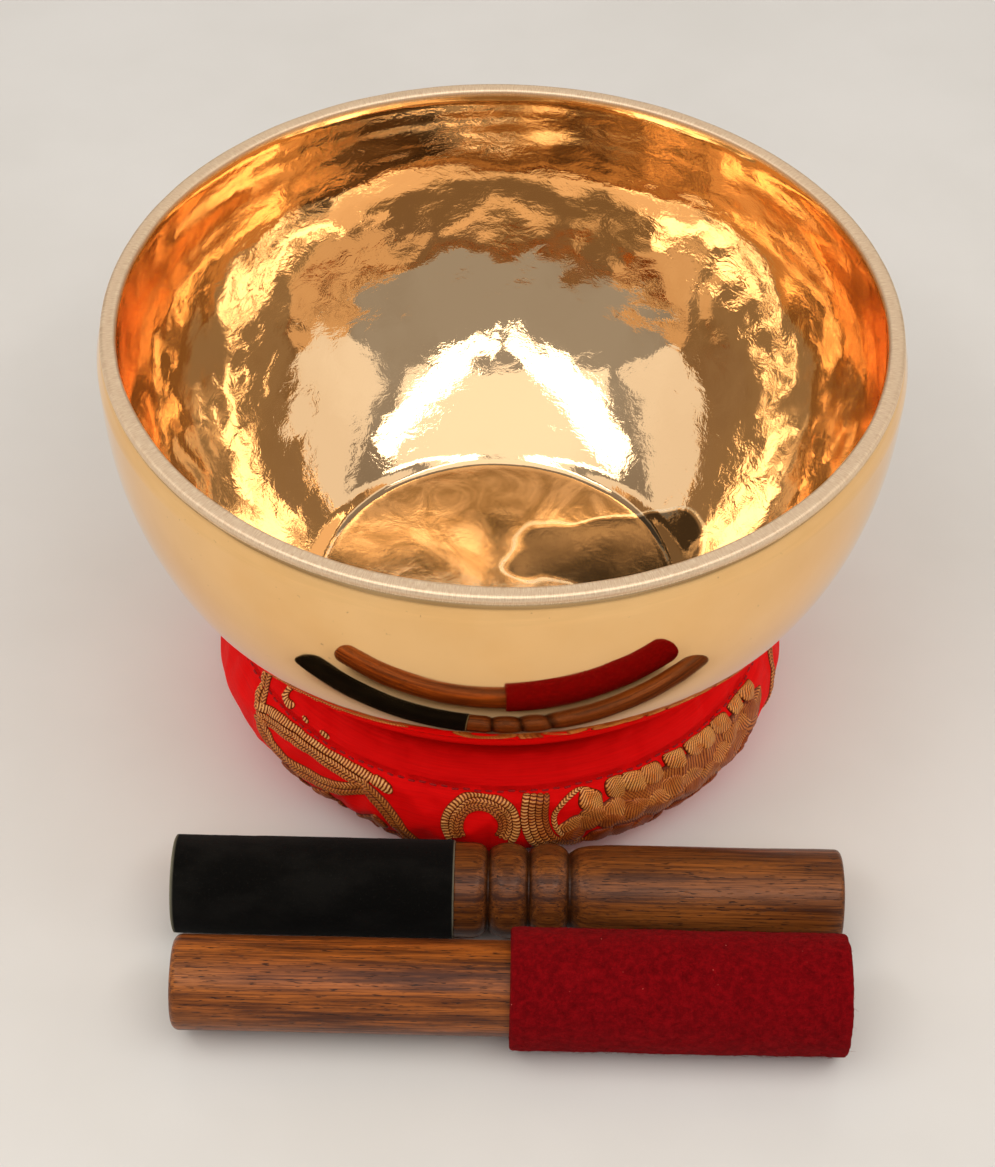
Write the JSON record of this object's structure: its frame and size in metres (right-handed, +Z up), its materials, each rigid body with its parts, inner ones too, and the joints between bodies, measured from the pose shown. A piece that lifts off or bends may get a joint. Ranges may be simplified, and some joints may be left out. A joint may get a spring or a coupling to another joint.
{
  "type": "singing bowl",
  "caption": "Hammered bronze singing bowl with a flat rim, resting on a padded silk brocade ring cushion, with a suede-wrapped and a felt-wrapped wooden mallet lying in front.",
  "frame": {"origin": "on the floor under the middle of the set's bounding box; the bowl's axis stands 22.4 mm behind it", "axes": "+Z up along the bowl's axis, -Y towards the player and the mallets, +X to the player's right along the mallets"},
  "size_m": [0.238, 0.2828, 0.15],
  "materials": {
    "hammered_bronze": "mirror polished bell bronze with hammer marks and a satin brushed rim",
    "plain_silk": "plain red silk satin",
    "silk_brocade": "red silk with raised gold thread ornament",
    "base_cloth": "plain red cotton lining",
    "cotton_filling": "loose cotton wadding",
    "sewing_thread": "twisted red thread",
    "turned_rosewood": "turned dark rosewood, oiled satin",
    "straight_rosewood": "straight-grained rosewood, oiled satin",
    "black_suede": "black suede with a short nap",
    "red_felt": "dark red wool felt"
  },
  "bodies": {
    "cushion": {"cushion_filling": "cotton_filling", "cushion_top_panel": "plain_silk", "cushion_side_panel": "silk_brocade", "cushion_base_panel": "base_cloth", "cushion_hole_panel": "base_cloth", "outer_seam_thread": "sewing_thread", "base_seam_thread": "sewing_thread", "hole_base_seam_thread": "sewing_thread", "hole_top_seam_thread": "sewing_thread"},
    "bowl": {"bowl": "hammered_bronze"},
    "suede_mallet": {"suede_mallet_stick": "turned_rosewood", "suede_sleeve": "black_suede"},
    "felt_mallet": {"felt_mallet_stick": "straight_rosewood", "felt_sleeve": "red_felt"}
  },
  "joints": [
    {"name": "bowl_lift", "type": "slide", "parent": "cushion", "child": "bowl", "axis": [0, 0, 1], "range_m": [0, 0.1]},
    {"name": "suede_mallet_lift", "type": "slide", "parent": "cushion", "child": "suede_mallet", "axis": [0, -0.4067, 0.9135], "range_m": [0, 0.15]},
    {"name": "felt_mallet_lift", "type": "slide", "parent": "cushion", "child": "felt_mallet", "axis": [0, -0.4067, 0.9135], "range_m": [0, 0.15]}
  ]
}
